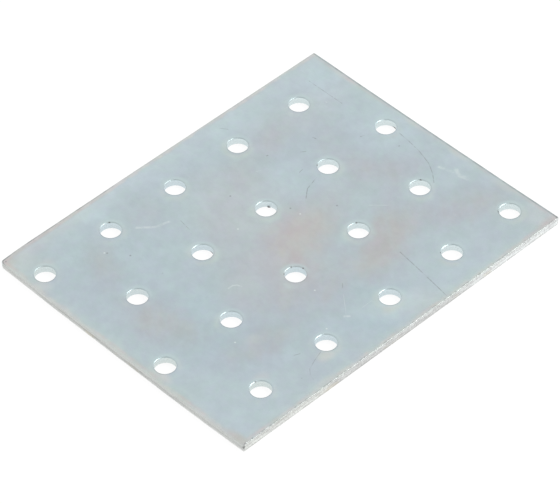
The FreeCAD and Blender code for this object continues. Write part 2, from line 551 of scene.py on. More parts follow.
# %% [markdown]
# The shear did not cut quite straight, and the worn corner is also knocked down. Each row has an
# axis, a side, and a table of places along that side with how far it is drawn in there, in
# millimetres. The finishes need the place that each point had before this, so it is stored first.

# %% Bow the edges
EDGE_BOWS = (
    (0, -1, ((-40, 0.42), (-34, 0.25), (-27, 0.12), (-15, 0), (20, 0), (30, 0.12), (40, 0.2))),
    (0, 1, ((-40, 0), (-20, 0.16), (0, 0.22), (20, 0.18), (40, 0.05))),
    (1, 1, ((-50, 0.12), (-36, 0.14), (-24, 0.07), (-10, 0), (50, 0))),
)
BOW_REACH = 3 * MM
DIP_PLACE = Vector((-HALF_LENGTH, HALF_WIDTH))
DIP_REACH = 11 * MM
DIP_DEPTH = 0.55 * MM


def pull_at(table, where):
    """The pull at a place along a side, blended between the places of its table."""
    for (start, first), (end, second) in zip(table, table[1:]):
        if where <= end:
            share = min(max((where - start) / (end - start), 0), 1)
            return first + (second - first) * share * share * (3 - 2 * share)
    return table[-1][1]


flat_place = plate.data.attributes.new("flat_place", "FLOAT_VECTOR", "POINT")
half_sizes = (HALF_LENGTH, HALF_WIDTH)
for index, point in enumerate(plate.data.vertices):
    flat_place.data[index].vector = point.co / MM
    for axis, side, table in EDGE_BOWS:
        gap = half_sizes[axis] - side * point.co[axis]
        if gap < BOW_REACH:
            pull = pull_at(table, point.co[1 - axis] / MM) * MM
            point.co[axis] -= side * pull * (1 - gap / BOW_REACH)
    reach = math.hypot(point.co.x - DIP_PLACE.x, point.co.y - DIP_PLACE.y) / DIP_REACH
    if reach < 1:
        point.co.z -= DIP_DEPTH * (1 - reach) ** 2 * (point.co.z / TOP) ** 3
    point.co.z = min(max(point.co.z, 0), TOP)

# %% Smooth the shading but keep the crisp lips
SHARP_ANGLE = math.radians(28)
only(plate)
bpy.ops.object.shade_smooth_by_angle(angle=SHARP_ANGLE)
triangles = sum(len(facet.vertices) - 2 for facet in plate.data.polygons)
print("plate:", triangles, "triangles")

# %% [markdown]
# Materials are built from nodes. These helpers add a node to the tree that its sockets belong to,
# feed its inputs with sockets or plain values, and hand back its output.


# %% Node helpers
def is_socket(value):
    return isinstance(value, bpy.types.NodeSocket)


def feed(socket, value):
    """Wire another socket into a socket, or set it to a plain value."""
    if is_socket(value):
        socket.id_data.links.new(value, socket)
    else:
        socket.default_value = value


def add_node(tree, kind, **values):
    """Add a shader node. A name that is an input, with underscores for spaces, feeds it."""
    node = tree.nodes.new(f"ShaderNode{kind}")
    for name, value in values.items():
        socket = node.inputs.get(name.replace("_", " "))
        if socket is None:
            setattr(node, name, value)
        else:
            feed(socket, value)
    return node


def add_fed(kind, values, **settings):
    """Add a node where some sockets and numbers are, and feed them to its inputs in order."""
    tree = next(value.id_data for value in values if is_socket(value))
    node = add_node(tree, kind, **settings)
    for socket, value in zip(node.inputs, values):
        feed(socket, value)
    return node


def maths(operation, *values):
    return add_fed("Math", values, operation=operation).outputs["Value"]


def times(first, second):
    return maths("MULTIPLY", first, second)


def plus(first, second):
    return maths("ADD", first, second)


def lower(first, second):
    return maths("MINIMUM", first, second)


def higher(first, second):
    return maths("MAXIMUM", first, second)


def vectors(operation, *values, output="Vector"):
    return add_fed("VectorMath", values, operation=operation).outputs[output]


def scaled(vector, share):
    """A vector or a colour, socket or not, times a share that is a socket or a number."""
    tree = vector.id_data if is_socket(vector) else share.id_data
    node = add_node(tree, "VectorMath", operation="SCALE", Scale=share)
    feed(node.inputs[0], vector)
    return node.outputs["Vector"]


def tinted(colour, factors):
    """A colour with its red, green and blue each made stronger or weaker."""
    return vectors("MULTIPLY", colour, factors)


def ranged(socket, from_low, from_high, to_low=0, to_high=1):
    """Map one range to another, smoothly and without overshooting."""
    values = (socket, from_low, from_high, to_low, to_high)
    node = add_fed("MapRange", values, interpolation_type="SMOOTHSTEP", clamp=False)
    return node.outputs["Result"]


def mixed(share, first, second):
    """Mix two colours, each a socket or a tuple, by a share that is a socket."""
    mix = add_node(share.id_data, "Mix", data_type="RGBA")
    feed(mix.inputs["Factor"], share)
    colour_inputs = [socket for socket in mix.inputs if socket.type == "RGBA"]
    for socket, value in zip(colour_inputs, (first, second)):
        feed(socket, (*value, 1) if isinstance(value, tuple) else value)
    return next(socket for socket in mix.outputs if socket.type == "RGBA")


# %% [markdown]
# A group has named inputs and one output, which is a mask or a colour. All the finishes share a
# place in millimetres, read from the attribute that was stored before the edges were bowed.


# %% Group helpers and stored attributes
def new_group(name, vector_inputs, number_inputs="", output="Mask", kind="Float"):
    """A new group, the sockets that carry its inputs, and the socket of its output."""
    group = bpy.data.node_groups.new(name, "ShaderNodeTree")
    sockets = [(each, "INPUT", "Vector") for each in vector_inputs.split()]
    sockets += [(each, "INPUT", "Float") for each in number_inputs.split()]
    for each, side, its_kind in (*sockets, (output, "OUTPUT", kind)):
        group.interface.new_socket(each, in_out=side, socket_type=f"NodeSocket{its_kind}")
    given = group.nodes.new("NodeGroupInput").outputs
    return group, given, group.nodes.new("NodeGroupOutput").inputs[0]


def use_group(group, **values):
    """Add a group, feed it by name and return its output."""
    tree = next(value.id_data for value in values.values() if is_socket(value))
    node = add_node(tree, "Group", node_tree=group)
    for name, value in values.items():
        feed(node.inputs[name], value)
    return node.outputs[0]


def attribute_value(tree, name, output="Fac"):
    return add_node(tree, "Attribute", attribute_name=name).outputs[output]


def place_in_mm(tree):
    return attribute_value(tree, "flat_place", "Vector")


# %% [markdown]
# The passivation is a clear film a fraction of a micron thick, and its colour is interference, like
# oil on water. One ramp holds its hues from thin to thick, as red, green and blue on a screen, so
# the rest of the material only has to say how thick the film is.


# %% Group: film tint
def tone(red, green, blue):
    """A colour as it looks on a screen, 0 to 255, turned into the values that Blender mixes."""
    return tuple(((part / 255 + 0.055) / 1.055) ** 2.4 for part in (red, green, blue))


FILM_TINTS = (
    (0.00, 190, 206, 211),
    (0.17, 187, 201, 206),
    (0.30, 185, 199, 204),
    (0.42, 184, 197, 202),
    (0.54, 183, 195, 200),
    (0.66, 183, 193, 198),
    (0.76, 183, 191, 196),
    (0.86, 184, 190, 193),
    (1.00, 185, 186, 188),
)
film_tint, given, result = new_group("film_tint", "", "Thickness", "Tint", "Color")
ramp = add_node(film_tint, "ValToRGB", Fac=given["Thickness"])
stops = ramp.color_ramp.elements
while len(stops) < len(FILM_TINTS):
    stops.new(0.5)
for stop, (position, *_) in zip(stops, FILM_TINTS):
    stop.position = position
for stop, (_, *screen) in zip(stops, FILM_TINTS):
    stop.color = (*tone(*screen), 1)
feed(result, ramp.outputs["Color"])

# %% [markdown]
# The film is thicker where the bath lay longer on the plate. Each cloud is a soft oval spot. One
# group draws a spot with a middle and a spread, and a second one turns the place round the middle
# first.

# %% Groups: soft spot and turned spot
SPOT_CORE = 0.25
SPOT_EDGE = 1.5
soft_spot, given, result = new_group("soft_spot", "Place Middle Spread")
offset = vectors("SUBTRACT", given["Place"], given["Middle"])
distance = vectors("LENGTH", vectors("DIVIDE", offset, given["Spread"]), output="Value")
feed(result, ranged(distance, SPOT_CORE, SPOT_EDGE, 1, 0))

turned_spot, given, result = new_group("turned_spot", "Place Middle Spread", "Turn")
turned = add_node(
    turned_spot,
    "VectorRotate",
    rotation_type="Z_AXIS",
    Vector=given["Place"],
    Center=given["Middle"],
    Angle=given["Turn"],
)
turned_place = turned.outputs["Vector"]
spot = use_group(soft_spot, Place=turned_place, Middle=given["Middle"], Spread=given["Spread"])
feed(result, spot)

# %% [markdown]
# A scratch is a short straight line. The group measures how far a point is from the line between a
# start and an end, and a curved scratch is a few of them end to end.

# %% Group: scratch
SCRATCH_CORE = 0.2
scratch_line, given, result = new_group("scratch_line", "Place Start End", "Width")
from_start = vectors("SUBTRACT", given["Place"], given["Start"])
whole = vectors("SUBTRACT", given["End"], given["Start"])
along = vectors("DOT_PRODUCT", from_start, whole, output="Value")
square = vectors("DOT_PRODUCT", whole, whole, output="Value")
share = lower(higher(maths("DIVIDE", along, square), 0), 1)
gap = vectors("SUBTRACT", from_start, scaled(whole, share))
thin = maths("DIVIDE", vectors("LENGTH", gap, output="Value"), given["Width"])
feed(result, ranged(thin, SCRATCH_CORE, 1, 1, 0))

# %% [markdown]
# Rolled and pickled steel has a fine, slightly streaky grain under its zinc. The grain group gives
# a height for bumps and a mask for tones, at a size that each material sets.

# %% Group: grain
NOISE_ROUGHNESS = 0.6
grain, given, result = new_group("grain", "Place Stretch", "Fineness Detail")
texture = add_node(
    grain,
    "TexNoise",
    Vector=vectors("MULTIPLY", given["Place"], given["Stretch"]),
    Scale=given["Fineness"],
    Detail=given["Detail"],
    Roughness=NOISE_ROUGHNESS,
)
feed(result, texture.outputs["Fac"])


def grain_mask(place, fineness, detail=3, stretch=(1, 1, 1)):
    return use_group(grain, Place=place, Stretch=stretch, Fineness=fineness, Detail=detail)


# %% [markdown]
# The marks on the face are listed here, in millimetres. A cloud has its middle, its spread, its turn
# in degrees, and how much it adds to the film, or to its warmth. A scratch has its width and then
# the X and Y of its points by turns. A nick on a hole's lip has the hole and an angle round it.

# %% Clouds, scratches and specks of the face
FILM_CLOUDS = (
    ((18.2, -16.3), (6.7, 12.9), 119, 0.58),
    ((-18.2, 39.4), (13, 16.1), 145, -0.7),
    ((40.6, 8.7), (9.3, 8.9), 139, -0.7),
    ((-17.2, 31.2), (9.1, 7.7), 54, 0.7),
    ((3.6, -2.5), (8.6, 13.5), 102, 0.55),
    ((-36.8, -0.9), (6.5, 12.4), 12, 0.49),
    ((14.9, 38.6), (17, 10.2), 168, -0.28),
    ((4.1, -33.5), (8, 4.4), 153, -0.39),
    ((43.1, 29.6), (12.5, 7.1), 60, -0.35),
    ((-5.8, -16.9), (8.9, 16.3), 79, 0.44),
    ((35.5, 6.3), (10.3, 16), 171, 0.5),
    ((-27.1, -21), (11.3, 5.3), 170, 0.45),
    ((-32.3, 25.3), (4, 13.9), 155, 0.4),
    ((37.4, -22.6), (12.4, 6.2), 158, 0.42),
    ((19.9, -42.9), (9.7, 10.6), 53, -0.23),
    ((16.3, 23.8), (12.1, 5.8), 21, 0.45),
    ((38.6, -10), (14.3, 3.1), 0, -0.15),
    ((-13.6, 2.6), (5.8, 17), 144, 0.28),
    ((14.8, 16.1), (11.6, 5.3), 80, -0.3),
    ((-45.2, -35.6), (7.2, 16.2), 149, -0.21),
)
WARM_CLOUDS = (
    ((4.5, -34.3), (4.5, 17), 51, 0.91),
    ((-35.7, 38.5), (17, 2.5), 2, 1.1),
    ((0.4, 13.8), (13.8, 11.3), 70, 0.89),
    ((7.9, -0.6), (15.1, 6.1), 12, 0.87),
    ((14.8, -21.8), (3.6, 13.5), 117, 0.23),
    ((-13.8, -8.7), (7.5, 17), 100, 0.93),
    ((-1.3, -29.2), (10.3, 8.7), 124, -0.9),
    ((-25.7, -12.9), (17, 13.3), 156, -0.77),
    ((31.1, 27.3), (17, 5.7), 176, 0.58),
    ((-32.3, 15), (15.5, 17), 157, -0.25),
)
DARK_SCRATCHES = (
    (0.16, 16.3, -22.2, 15.4, -29, 13.85, -39.3),
    (0.14, 44.3, 5.7, 43.9, 2.2, 43.2, -1.8, 41.8, -6.4, 40, -9.4, 38, -11.8),
    (0.1, 42, 33.6, 42, 22.4),
    (0.1, -18.2, -31.8, -21, -32.7, -23.6, -33.8, -24.8, -35.2, -25.3, -36.8),
    (0.14, 20.1, 8.6, 15.9, 7.4, 13.4, 5.3),
    (0.1, -12, 20.4, -12.6, 16.6),
    (0.08, 0.1, -20.1, -1.1, -21.3),
    (0.12, 15.6, 36.6, 16.8, 34.9),
    (0.18, -44, 39.95, -48.6, 39.9, -49.4, 39.6, -49.85, 38.8, -49.95, 38),
    (0.22, 41.25, -29.4, 41.4, -28.9, 41.75, -28.45),
    (0.16, -48.6, -39.5, -49.1, -39.6, -49.6, -39.8),
    (0.1, -23.2, -28.4, -21.9, -29),
    (0.2, 37, 11.2, 37.9, 10.9),
    (0.18, 28.9, 19, 29.1, 18.1),
    (0.12, 23.3, 17.4, 24.4, 16.6),
    (0.12, 18.4, 12.6, 19.6, 12.8),
    (0.2, -26.6, 10.8, -26.4, 10.8),
    (0.2, 41, 2.6, 41.2, 2.5),
    (0.2, 16.9, 22, 17.2, 21.9),
    (0.16, -26.9, -34.6, -26.7, -34.6),
)
LIGHT_SCRATCHES = (
    (0.1, -3.4, -28.6, 1, -28.6),
    (0.55, -20.7, 25.7, -17.4, 22.8, -14.1, 22),
    (0.9, 44.7, -12.6, 43.9, -14.4, 44.4, -16.2),
    (0.6, 42.6, -9, 43.6, -12.4),
    (0.3, -19.2, -3.2, -17.9, -3.2, -17.1, -3.8, -16.7, -4.8),
    (0.16, 22.1, -6.5, 25.5, -9.9),
    (0.5, -6.9, -27.8, -6.1, -28.5),
    (0.2, 11.5, 19.9, 12.4, 19.4),
    (0.2, 39.7, 25.9, 39.7, 25.2),
    (0.12, -2.3, -22.8, -6.2, -27.6),
)
DARK_SPECKS = (
    (-27.8, 20.1),
    (8.6, 5.5),
    (16.8, -1.4),
    (1.6, 18.2),
    (-31, 24.4),
    (49.6, -39.6),
    (-49, 39),
)
LIGHT_SPECKS = (
    (-48.7, -39.8),
    (-31.4, 24.9),
    (-4.6, 9.1),
    (8.9, 2.6),
    (-5.9, -17.3),
    (-29.7, -16.4),
    (-12.4, -27.7),
)
SPECK_SIZE = 0.22
LIP_NICKS = (
    (-25.4, 29.4, 55),
    (-5.4, -10.6, 5),
    (-5.4, -10.6, 69),
    (-5.4, -10.6, 134),
    (14.6, -10.6, 56),
    (34.6, -10.6, 41),
    (24.6, 9.4, 127),
    (24.6, -30.6, 137),
    (43.6, -30.6, 140),
    (-35.4, -30.6, 74),
)
NICK_RADIUS = 2.56
NICK_HEIGHT = 1.88
NICK_SIZE = (0.24, 0.24, 0.16)
NICK_SHARE = 0.8
BURR_DARK = tone(96, 92, 92)


def join_in(operation, total, socket):
    """Join a socket to a running total, which starts as None."""
    return socket if total is None else maths(operation, total, socket)


def scratch_masks(place, scratches):
    mask = None
    for width, *numbers in scratches:
        points = [(x, y, TOP / MM) for x, y in zip(numbers[::2], numbers[1::2])]
        for start, end in zip(points, points[1:]):
            line = use_group(scratch_line, Place=place, Start=start, End=end, Width=width)
            mask = join_in("MAXIMUM", mask, line)
    return mask


def spot_masks(place, spots):
    """One mask from a list of spots, each a middle and a spread."""
    mask = None
    for middle, spread in spots:
        spot = use_group(soft_spot, Place=place, Middle=middle, Spread=spread)
        mask = join_in("MAXIMUM", mask, spot)
    return mask


def speck_masks(place, specks):
    return spot_masks(place, [((*speck, TOP / MM), (SPECK_SIZE,) * 3) for speck in specks])


def darken_nicks(place, colour):
    spots = []
    for hole_x, hole_y, degrees in LIP_NICKS:
        angle = math.radians(degrees)
        nick_x = hole_x + NICK_RADIUS * math.cos(angle)
        nick_y = hole_y + NICK_RADIUS * math.sin(angle)
        spots.append(((nick_x, nick_y, NICK_HEIGHT), NICK_SIZE))
    return mixed(times(spot_masks(place, spots), NICK_SHARE), colour, BURR_DARK)


def new_material(name):
    """A metal, with its tree and its shader."""
    material = bpy.data.materials.new(name)
    material.use_nodes = True
    tree = material.node_tree
    shader = tree.nodes["Principled BSDF"]
    shader.inputs["Metallic"].default_value = 1
    return material, tree, shader


def finish_with(shader, colour, roughness, height, strength, depth):
    """Wire up a shader with a colour, a roughness, and a height whose bumps have a depth in mm."""
    feed(shader.inputs["Base Color"], colour)
    feed(shader.inputs["Roughness"], roughness)
    bumps = add_node(shader.id_data, "Bump", Strength=strength, Distance=depth * MM, Height=height)
    feed(shader.inputs["Normal"], bumps.outputs["Normal"])


# %% [markdown]
# The film's thickness is the sum of the clouds, at a place that noise has pushed about so that
# their outlines break up. The plate hung by a corner in the bath, so the liquid ran off slantwise
# and left faint streaks: noise on coordinates that are turned and then stretched. The warm clouds
# shift the hue towards red or towards blue.

# %% Material: plated face, its film
BASE_FILM = 0.393
BASE_WARMTH = -0.051
WARM_STEP = (0.059, 0.005, -0.018)
DRIFT_FINENESS = 0.22
DRIFT_REACH = 5
DRAIN_TURN = -48
DRAIN_SWING = 0.07
FULL_DEPTH = 1e6
plated_face, tree, shader = new_material("plated_face")
place = place_in_mm(tree)
push = add_node(tree, "TexNoise", Vector=place, Scale=DRIFT_FINENESS, Detail=3, Roughness=0.6)
centred = vectors("SUBTRACT", push.outputs["Color"], (0.5, 0.5, 0.5))
drifted = vectors("ADD", place, scaled(centred, DRIFT_REACH))


def cloud_sum(place, clouds, base):
    total = None
    for middle, spread, turn, amount in clouds:
        spot = use_group(
            turned_spot,
            Place=place,
            Middle=(*middle, 0),
            Spread=(*spread, FULL_DEPTH),
            Turn=-math.radians(turn),
        )
        total = join_in("ADD", total, times(spot, amount))
    return plus(total, base)


clouds = cloud_sum(drifted, FILM_CLOUDS, BASE_FILM)
slant = add_node(tree, "Mapping", Vector=place, Rotation=(0, 0, math.radians(DRAIN_TURN)))
drains = grain_mask(slant.outputs["Vector"], 0.3, 4, (0.4, 1, 1))
film = plus(clouds, ranged(drains, 0.3, 0.7, -DRAIN_SWING, DRAIN_SWING))
tint = use_group(film_tint, Thickness=lower(higher(film, 0), 1))
warmth = cloud_sum(drifted, WARM_CLOUDS, BASE_WARMTH)
colour = tinted(tint, vectors("ADD", scaled(WARM_STEP, warmth), (1, 1, 1)))

# %% [markdown]
# Round each hole the draining liquid left a green ring and a beige one. A ring has where it starts,
# peaks and ends, in millimetres, how strong it is and its tone. Towards the sides the face turns
# green and, at the rim itself, beige, with an edge that noise makes ragged.

# %% The plated face's rings and bands
GREEN_FRINGE = tone(189, 203, 203)
BEIGE_FRINGE = tone(202, 206, 203)
BACK_WASH = tone(196, 208, 212)
BACK_RIM = tone(206, 209, 208)
RINGS = (
    (2.3, 3.3, 4.9, 0.55, GREEN_FRINGE),
    (1.9, 2.9, 4.2, 0.24, BEIGE_FRINGE),
)
from_hole = attribute_value(tree, "hole_distance")
from_drain = attribute_value(tree, "drain_distance")
uneven = ranged(grain_mask(place, 0.12), 0.4, 0.62, 0.1, 1.2)


def halo(distance, start, peak, end, strength):
    rise = ranged(distance, start, peak, 0, strength)
    return times(times(rise, ranged(distance, peak, end, 1, 0)), uneven)


for start, peak, end, strength, ring_tone in RINGS:
    colour = mixed(halo(from_drain, start, peak, end, strength), colour, ring_tone)


def split_place(place):
    return add_node(place.id_data, "SeparateXYZ", Vector=place).outputs


apart = split_place(place)


def from_side(axis, side, half):
    return plus(times(apart[axis], -side), half / MM)


from_back_end = from_side("X", 1, HALF_LENGTH)
from_front_end = from_side("X", -1, HALF_LENGTH)
from_back_side = from_side("Y", 1, HALF_WIDTH)
from_front_side = from_side("Y", -1, HALF_WIDTH)
from_beige_rim = lower(from_front_end, lower(from_back_side, from_front_side))
from_ends = lower(from_back_end, from_front_end)
from_green_rim = lower(lower(from_ends, from_front_side), plus(from_back_side, 1.5))
colour = mixed(ranged(from_back_side, 0, 8, 0.5, 0), colour, BACK_WASH)
ragged = ranged(grain_mask(place, 0.4), 0.3, 0.7, -0.5, 0.5)
green_gap = plus(from_green_rim, ragged)
colour = mixed(ranged(green_gap, 0.3, 3.4, 0.75, 0), colour, GREEN_FRINGE)
beige_gap = plus(from_beige_rim, times(ragged, 0.6))
colour = mixed(ranged(beige_gap, -0.1, 1.3, 0.9, 0), colour, BEIGE_FRINGE)

# %% [markdown]
# Some places by the rims and the holes came out grey or beige. Each patch has a middle, a spread
# and a strength. The film then turns a little redder just inside every rim.

# %% The plated face's patches
GREY = tone(192, 193, 190)
BEIGE = tone(203, 206, 203)
GREY_PATCHES = (
    ((-49.1, -38), (1.5, 3.4), 0.9),
    ((47.6, -39.2), (3.6, 1.3), 0.7),
    ((-48.9, 38.6), (2, 2), 0.8),
    ((-40, 39.8), (14, 1.1), 0.9),
    ((-24, 39.8), (12, 0.8), 0.7),
)
BEIGE_PATCHES = (
    ((-18.3, -33.4), (2.2, 1.6), 0.7),
    ((1.8, -33.3), (2.2, 1.4), 0.4),
    ((-48, 27.2), (1.6, 2.4), 0.45),
    ((-43.3, 31.5), (2.2, 1.6), 0.45),
    ((-33.2, -28.3), (2.2, 1.6), 0.4),
    ((-23.8, -38.9), (3.2, 0.9), 0.45),
    ((-18.4, -39.5), (2.5, 0.7), 0.35),
    ((-46.5, 36), (4.5, 4.5), 0.3),
    ((47, -36), (4, 4), 0.3),
    ((-48.2, -12.5), (1.4, 2.6), 0.7),
    ((-26.3, -18.3), (2, 1.4), 0.25),
    ((49.2, 29), (0.9, 5), 0.5),
    ((49.2, 5.5), (0.9, 3), 0.4),
    ((49, -9), (1, 3), 0.4),
    ((48.6, -24), (1.2, 3), 0.35),
)
BLUSH = (0.1, 0.7, 1.7, 0.65)
BLUSH_FACTORS = (1.04, 0.92, 0.92)
for patch_tone, patches in ((GREY, GREY_PATCHES), (BEIGE, BEIGE_PATCHES)):
    for middle, spread, amount in patches:
        patch = spot_masks(place, [((*middle, 0), (*spread, FULL_DEPTH))])
        colour = mixed(times(patch, amount), colour, patch_tone)
blush = halo(lower(from_beige_rim, from_ends), *BLUSH)
colour = mixed(blush, colour, tinted(colour, BLUSH_FACTORS))
back_rim = ranged(plus(from_back_side, ragged), 0.2, 1.2, 0.6, 0)
colour = mixed(back_rim, colour, BACK_RIM)

# %% The plated face's fine mottling
SHADE_SWING = 0.032
PINKER = (1.006, 0.984, 1.010)
GREENER = (0.994, 1.016, 0.990)
shade = ranged(grain_mask(place, 0.3, 5), 0.3, 0.7)
darker = tinted(colour, (1 - SHADE_SWING,) * 3)
lighter = tinted(colour, (1 + SHADE_SWING,) * 3)
colour = mixed(shade, darker, lighter)
hue_grain = plus(times(grain_mask(place, 0.13), 0.55), times(grain_mask(place, 0.45, 4), 0.45))
hue = ranged(hue_grain, 0.38, 0.62)
colour = mixed(hue, tinted(colour, PINKER), tinted(colour, GREENER))

# %% [markdown]
# Thin dark lines of painted shade at the rims stand for the rollover's dark reflection: strong along
# the far short end, fading along the far side, and broken into faint dots along the near side. The
# lips of the holes get painted shade too, on the side away from the drain, and a pale ring on the
# other.

# %% Painted shade lines at the rim and the holes' lips
# This dark tone serves the real scratches and specks, and the painted shade lines at the rims and
# lips.
DARK_MARK_AND_SHADE = tone(128, 132, 133)
LIGHT_MARK = tone(220, 228, 227)
PALE_FRINGE = tone(192, 209, 211)
SIDE_LINE = 0.5
BACK_END_LINE = 0.61
LINE_CORE = 0.6


def rim_shade_line(gap, low, high, fineness, width=SIDE_LINE):
    """A line of painted shade just inside one side, broken up by noise."""
    line = ranged(gap, width * LINE_CORE, width, 1, 0)
    breaks = ranged(grain_mask(place, fineness, stretch=(1, 1, 0)), 0.35, 0.65, low, high)
    return times(line, higher(breaks, 0))


# Painted shade: dark lines along the far short end and both long sides, standing in for the
# rollover's reflection.
lines = rim_shade_line(from_back_end, 0.25, 0.55, 0.3, BACK_END_LINE)
fainter = ranged(apart["X"], -22, 2, 1, 0.2)
lines = higher(lines, times(rim_shade_line(from_back_side, -0.1, 0.7, 0.12), fainter))
lines = higher(lines, rim_shade_line(from_front_side, -0.2, 0.45, 0.9))
colour = mixed(lines, colour, DARK_MARK_AND_SHADE)
towards_drain = maths("SUBTRACT", from_hole, from_drain)
pale_side = ranged(towards_drain, -0.6, 0.2, 0.6, 0)
pale_ring = times(ranged(from_hole, 2.8, 3.9, 1, 0), pale_side)
colour = mixed(pale_ring, colour, PALE_FRINGE)
# Painted shade: a dark line round each hole's lip, stronger on one side, standing in for its dark
# reflection.
lip_shade = ranged(towards_drain, 0, 0.6, 0.10, 0.36)
lip = times(ranged(from_hole, 2.6, 2.95, 1, 0), lip_shade)
colour = mixed(lip, colour, DARK_MARK_AND_SHADE)
colour = darken_nicks(place, colour)

# %% [markdown]
# Marks from handling lie over the film. Noise breaks the scratches up, and the dark ones are scored
# into the surface as well.

# %% Scratches and specks over the film
DARK_SCRATCH_SHARE = 0.63
DARK_SPECK_SHARE = 0.65
LIGHT_SCRATCH_SHARE = 0.4
LIGHT_SPECK_SHARE = 0.8
SCORE_DEPTH = -0.6
broken = ranged(grain_mask(place, 0.5), 0.38, 0.6, 0.15, 1)
dark_lines = scratch_masks(place, DARK_SCRATCHES)
colour = mixed(times(times(dark_lines, broken), DARK_SCRATCH_SHARE), colour, DARK_MARK_AND_SHADE)
dark_dots = speck_masks(place, DARK_SPECKS)
colour = mixed(times(dark_dots, DARK_SPECK_SHARE), colour, DARK_MARK_AND_SHADE)
light_lines = scratch_masks(place, LIGHT_SCRATCHES)
colour = mixed(times(times(light_lines, broken), LIGHT_SCRATCH_SHARE), colour, LIGHT_MARK)
light_dots = speck_masks(place, LIGHT_SPECKS)
colour = mixed(times(light_dots, LIGHT_SPECK_SHARE), colour, LIGHT_MARK)
satin = ranged(grain_mask(place, 1.3, stretch=(1, 0.5, 1)), 0.3, 0.7, 0.34, 0.46)
orange_peel = grain_mask(place, 2.2)
surface = plus(orange_peel, times(dark_lines, SCORE_DEPTH))
finish_with(shader, colour, satin, surface, 0.12, 0.02)

# %% [markdown]
# The wall of a hole is burnished by the punch, so it is smooth and pale, with faint upright streaks.
# Its tint is a warm grey near the front end, blue in the middle and paler towards the back end.

# %% Material: wall of a hole
TEAR_DARK = tone(112, 114, 112)
MIDDLE_WALL = tone(208, 221, 226)
BACK_WALL = tone(219, 230, 231)
FRONT_WALL = tone(218, 226, 223)
LOWER_WALL_SHADE = 0.968
STREAK_FACTORS = (1.05, 1.05, 1.05)
TEAR_SHARE = 0.07
hole_wall_finish, tree, shader = new_material("hole_wall")
place = place_in_mm(tree)
streaks = grain_mask(place, 2.2, stretch=(1, 1, 0.06))
streak_share = ranged(streaks, 0.32, 0.68)
split = split_place(place)
along = plus(split["X"], ranged(grain_mask(place, 0.1), 0.3, 0.7, -8, 8))
colour = mixed(ranged(along, -20, 42), MIDDLE_WALL, BACK_WALL)
colour = mixed(ranged(along, -48, -22, 1, 0), colour, FRONT_WALL)
colour = scaled(colour, ranged(split["Z"], 0.8, 1.2, LOWER_WALL_SHADE, 1))
colour = mixed(streak_share, colour, tinted(colour, STREAK_FACTORS))
colour = mixed(times(attribute_value(tree, "tear_line"), TEAR_SHARE), colour, TEAR_DARK)
colour = mixed(spot_masks(place, BURRS), colour, BURR_DARK)
colour = darken_nicks(place, colour)
finish_with(shader, colour, ranged(streaks, 0.3, 0.7, 0.4, 0.5), streaks, 0.15, 0.02)

# %% [markdown]
# The land is the bright part of a cut edge, burnished by the blade, with fine upright streaks. The
# torn zone is grainy. Both darken at the tear line, and the two short ends were cropped with a
# blunter blade than the long sides, so they are duller.

# %% Helpers for the two zones of a cut edge
CORNER_MARK = ((-49.8, -39.9, 1.3), (0.35, 0.35, 0.5))
CORNER_MARK_SHARE = 0.8


def short_end(split):
    """One on the two short ends, nought on the long sides."""
    end = HALF_LENGTH / MM
    return ranged(maths("ABSOLUTE", split["X"]), end - 0.5, end - 0.3)


def vary_along(split, colour, front_factors, back_factors):
    """Change a side's colour over its front quarter and its back quarter."""
    front = ranged(split["X"], -24, -21, 1, 0)
    colour = mixed(front, colour, tinted(colour, front_factors))
    back = ranged(split["X"], 14, 26)
    return mixed(back, colour, tinted(colour, back_factors))


def mark_edge(place, ends, colour):
    """The dark tear line, patchy and weaker on the long sides, and a nick in the near corner."""
    patchy = ranged(grain_mask(place, 0.25, stretch=(1, 1, 0)), 0.3, 0.7, 0.45, 1)
    strength = plus(times(ends, 0.72), 0.16)
    tear = times(times(attribute_value(place.id_data, "tear_line"), patchy), strength)
    colour = mixed(tear, colour, TEAR_DARK)
    return mixed(times(spot_masks(place, [CORNER_MARK]), CORNER_MARK_SHARE), colour, TEAR_DARK)


# %% Materials: sheared land and torn zone
LENGTHWAYS = (0.25, 0.25, 3)
sheared_land, tree, shader = new_material("sheared_land")
place = place_in_mm(tree)
split = split_place(place)
ends = short_end(split)
uprights = grain_mask(place, 1.8, 4, (1, 1, 0.15))
mottle = ranged(plus(uprights, grain_mask(place, 1, stretch=LENGTHWAYS)), 0.8, 1.2)
on_sides = mixed(mottle, tone(196, 197, 196), tone(232, 235, 234))
# Painted light: the land is lighter towards its top, next to the highlight on the rollover.
on_sides = scaled(on_sides, ranged(split["Z"], 1.35, 1.8, 0.925, 1))
on_sides = vary_along(split, on_sides, (0.995, 0.995, 0.97), (1.115, 1.125, 1.13))
on_ends = mixed(mottle, tone(192, 195, 192), tone(206, 209, 207))
colour = mark_edge(place, ends, mixed(ends, on_sides, on_ends))
finish_with(shader, colour, ranged(uprights, 0.3, 0.7, 0.32, 0.48), uprights, 0.12, 0.03)

# A near-white tone for a painted reflection of the floor at the foot of the short ends.
PAINTED_FLOOR_REFLECTION = tone(238, 238, 237)
PALE_END = tone(224, 226, 224)
STRAW_STAIN = tone(206, 196, 172)
torn_zone, tree, shader = new_material("torn_zone")
place = place_in_mm(tree)
split = split_place(place)
ends = short_end(split)
crystals = grain_mask(place, 2, 4, (1, 1, 0.7))
mottle = ranged(plus(crystals, grain_mask(place, 1, stretch=LENGTHWAYS)), 0.8, 1.2)
height = ranged(split["Z"], 0.05, 0.62)
side_high = mixed(mottle, tone(198, 198, 198), tone(225, 227, 225))
side_low = mixed(mottle, tone(184, 184, 182), tone(210, 211, 210))
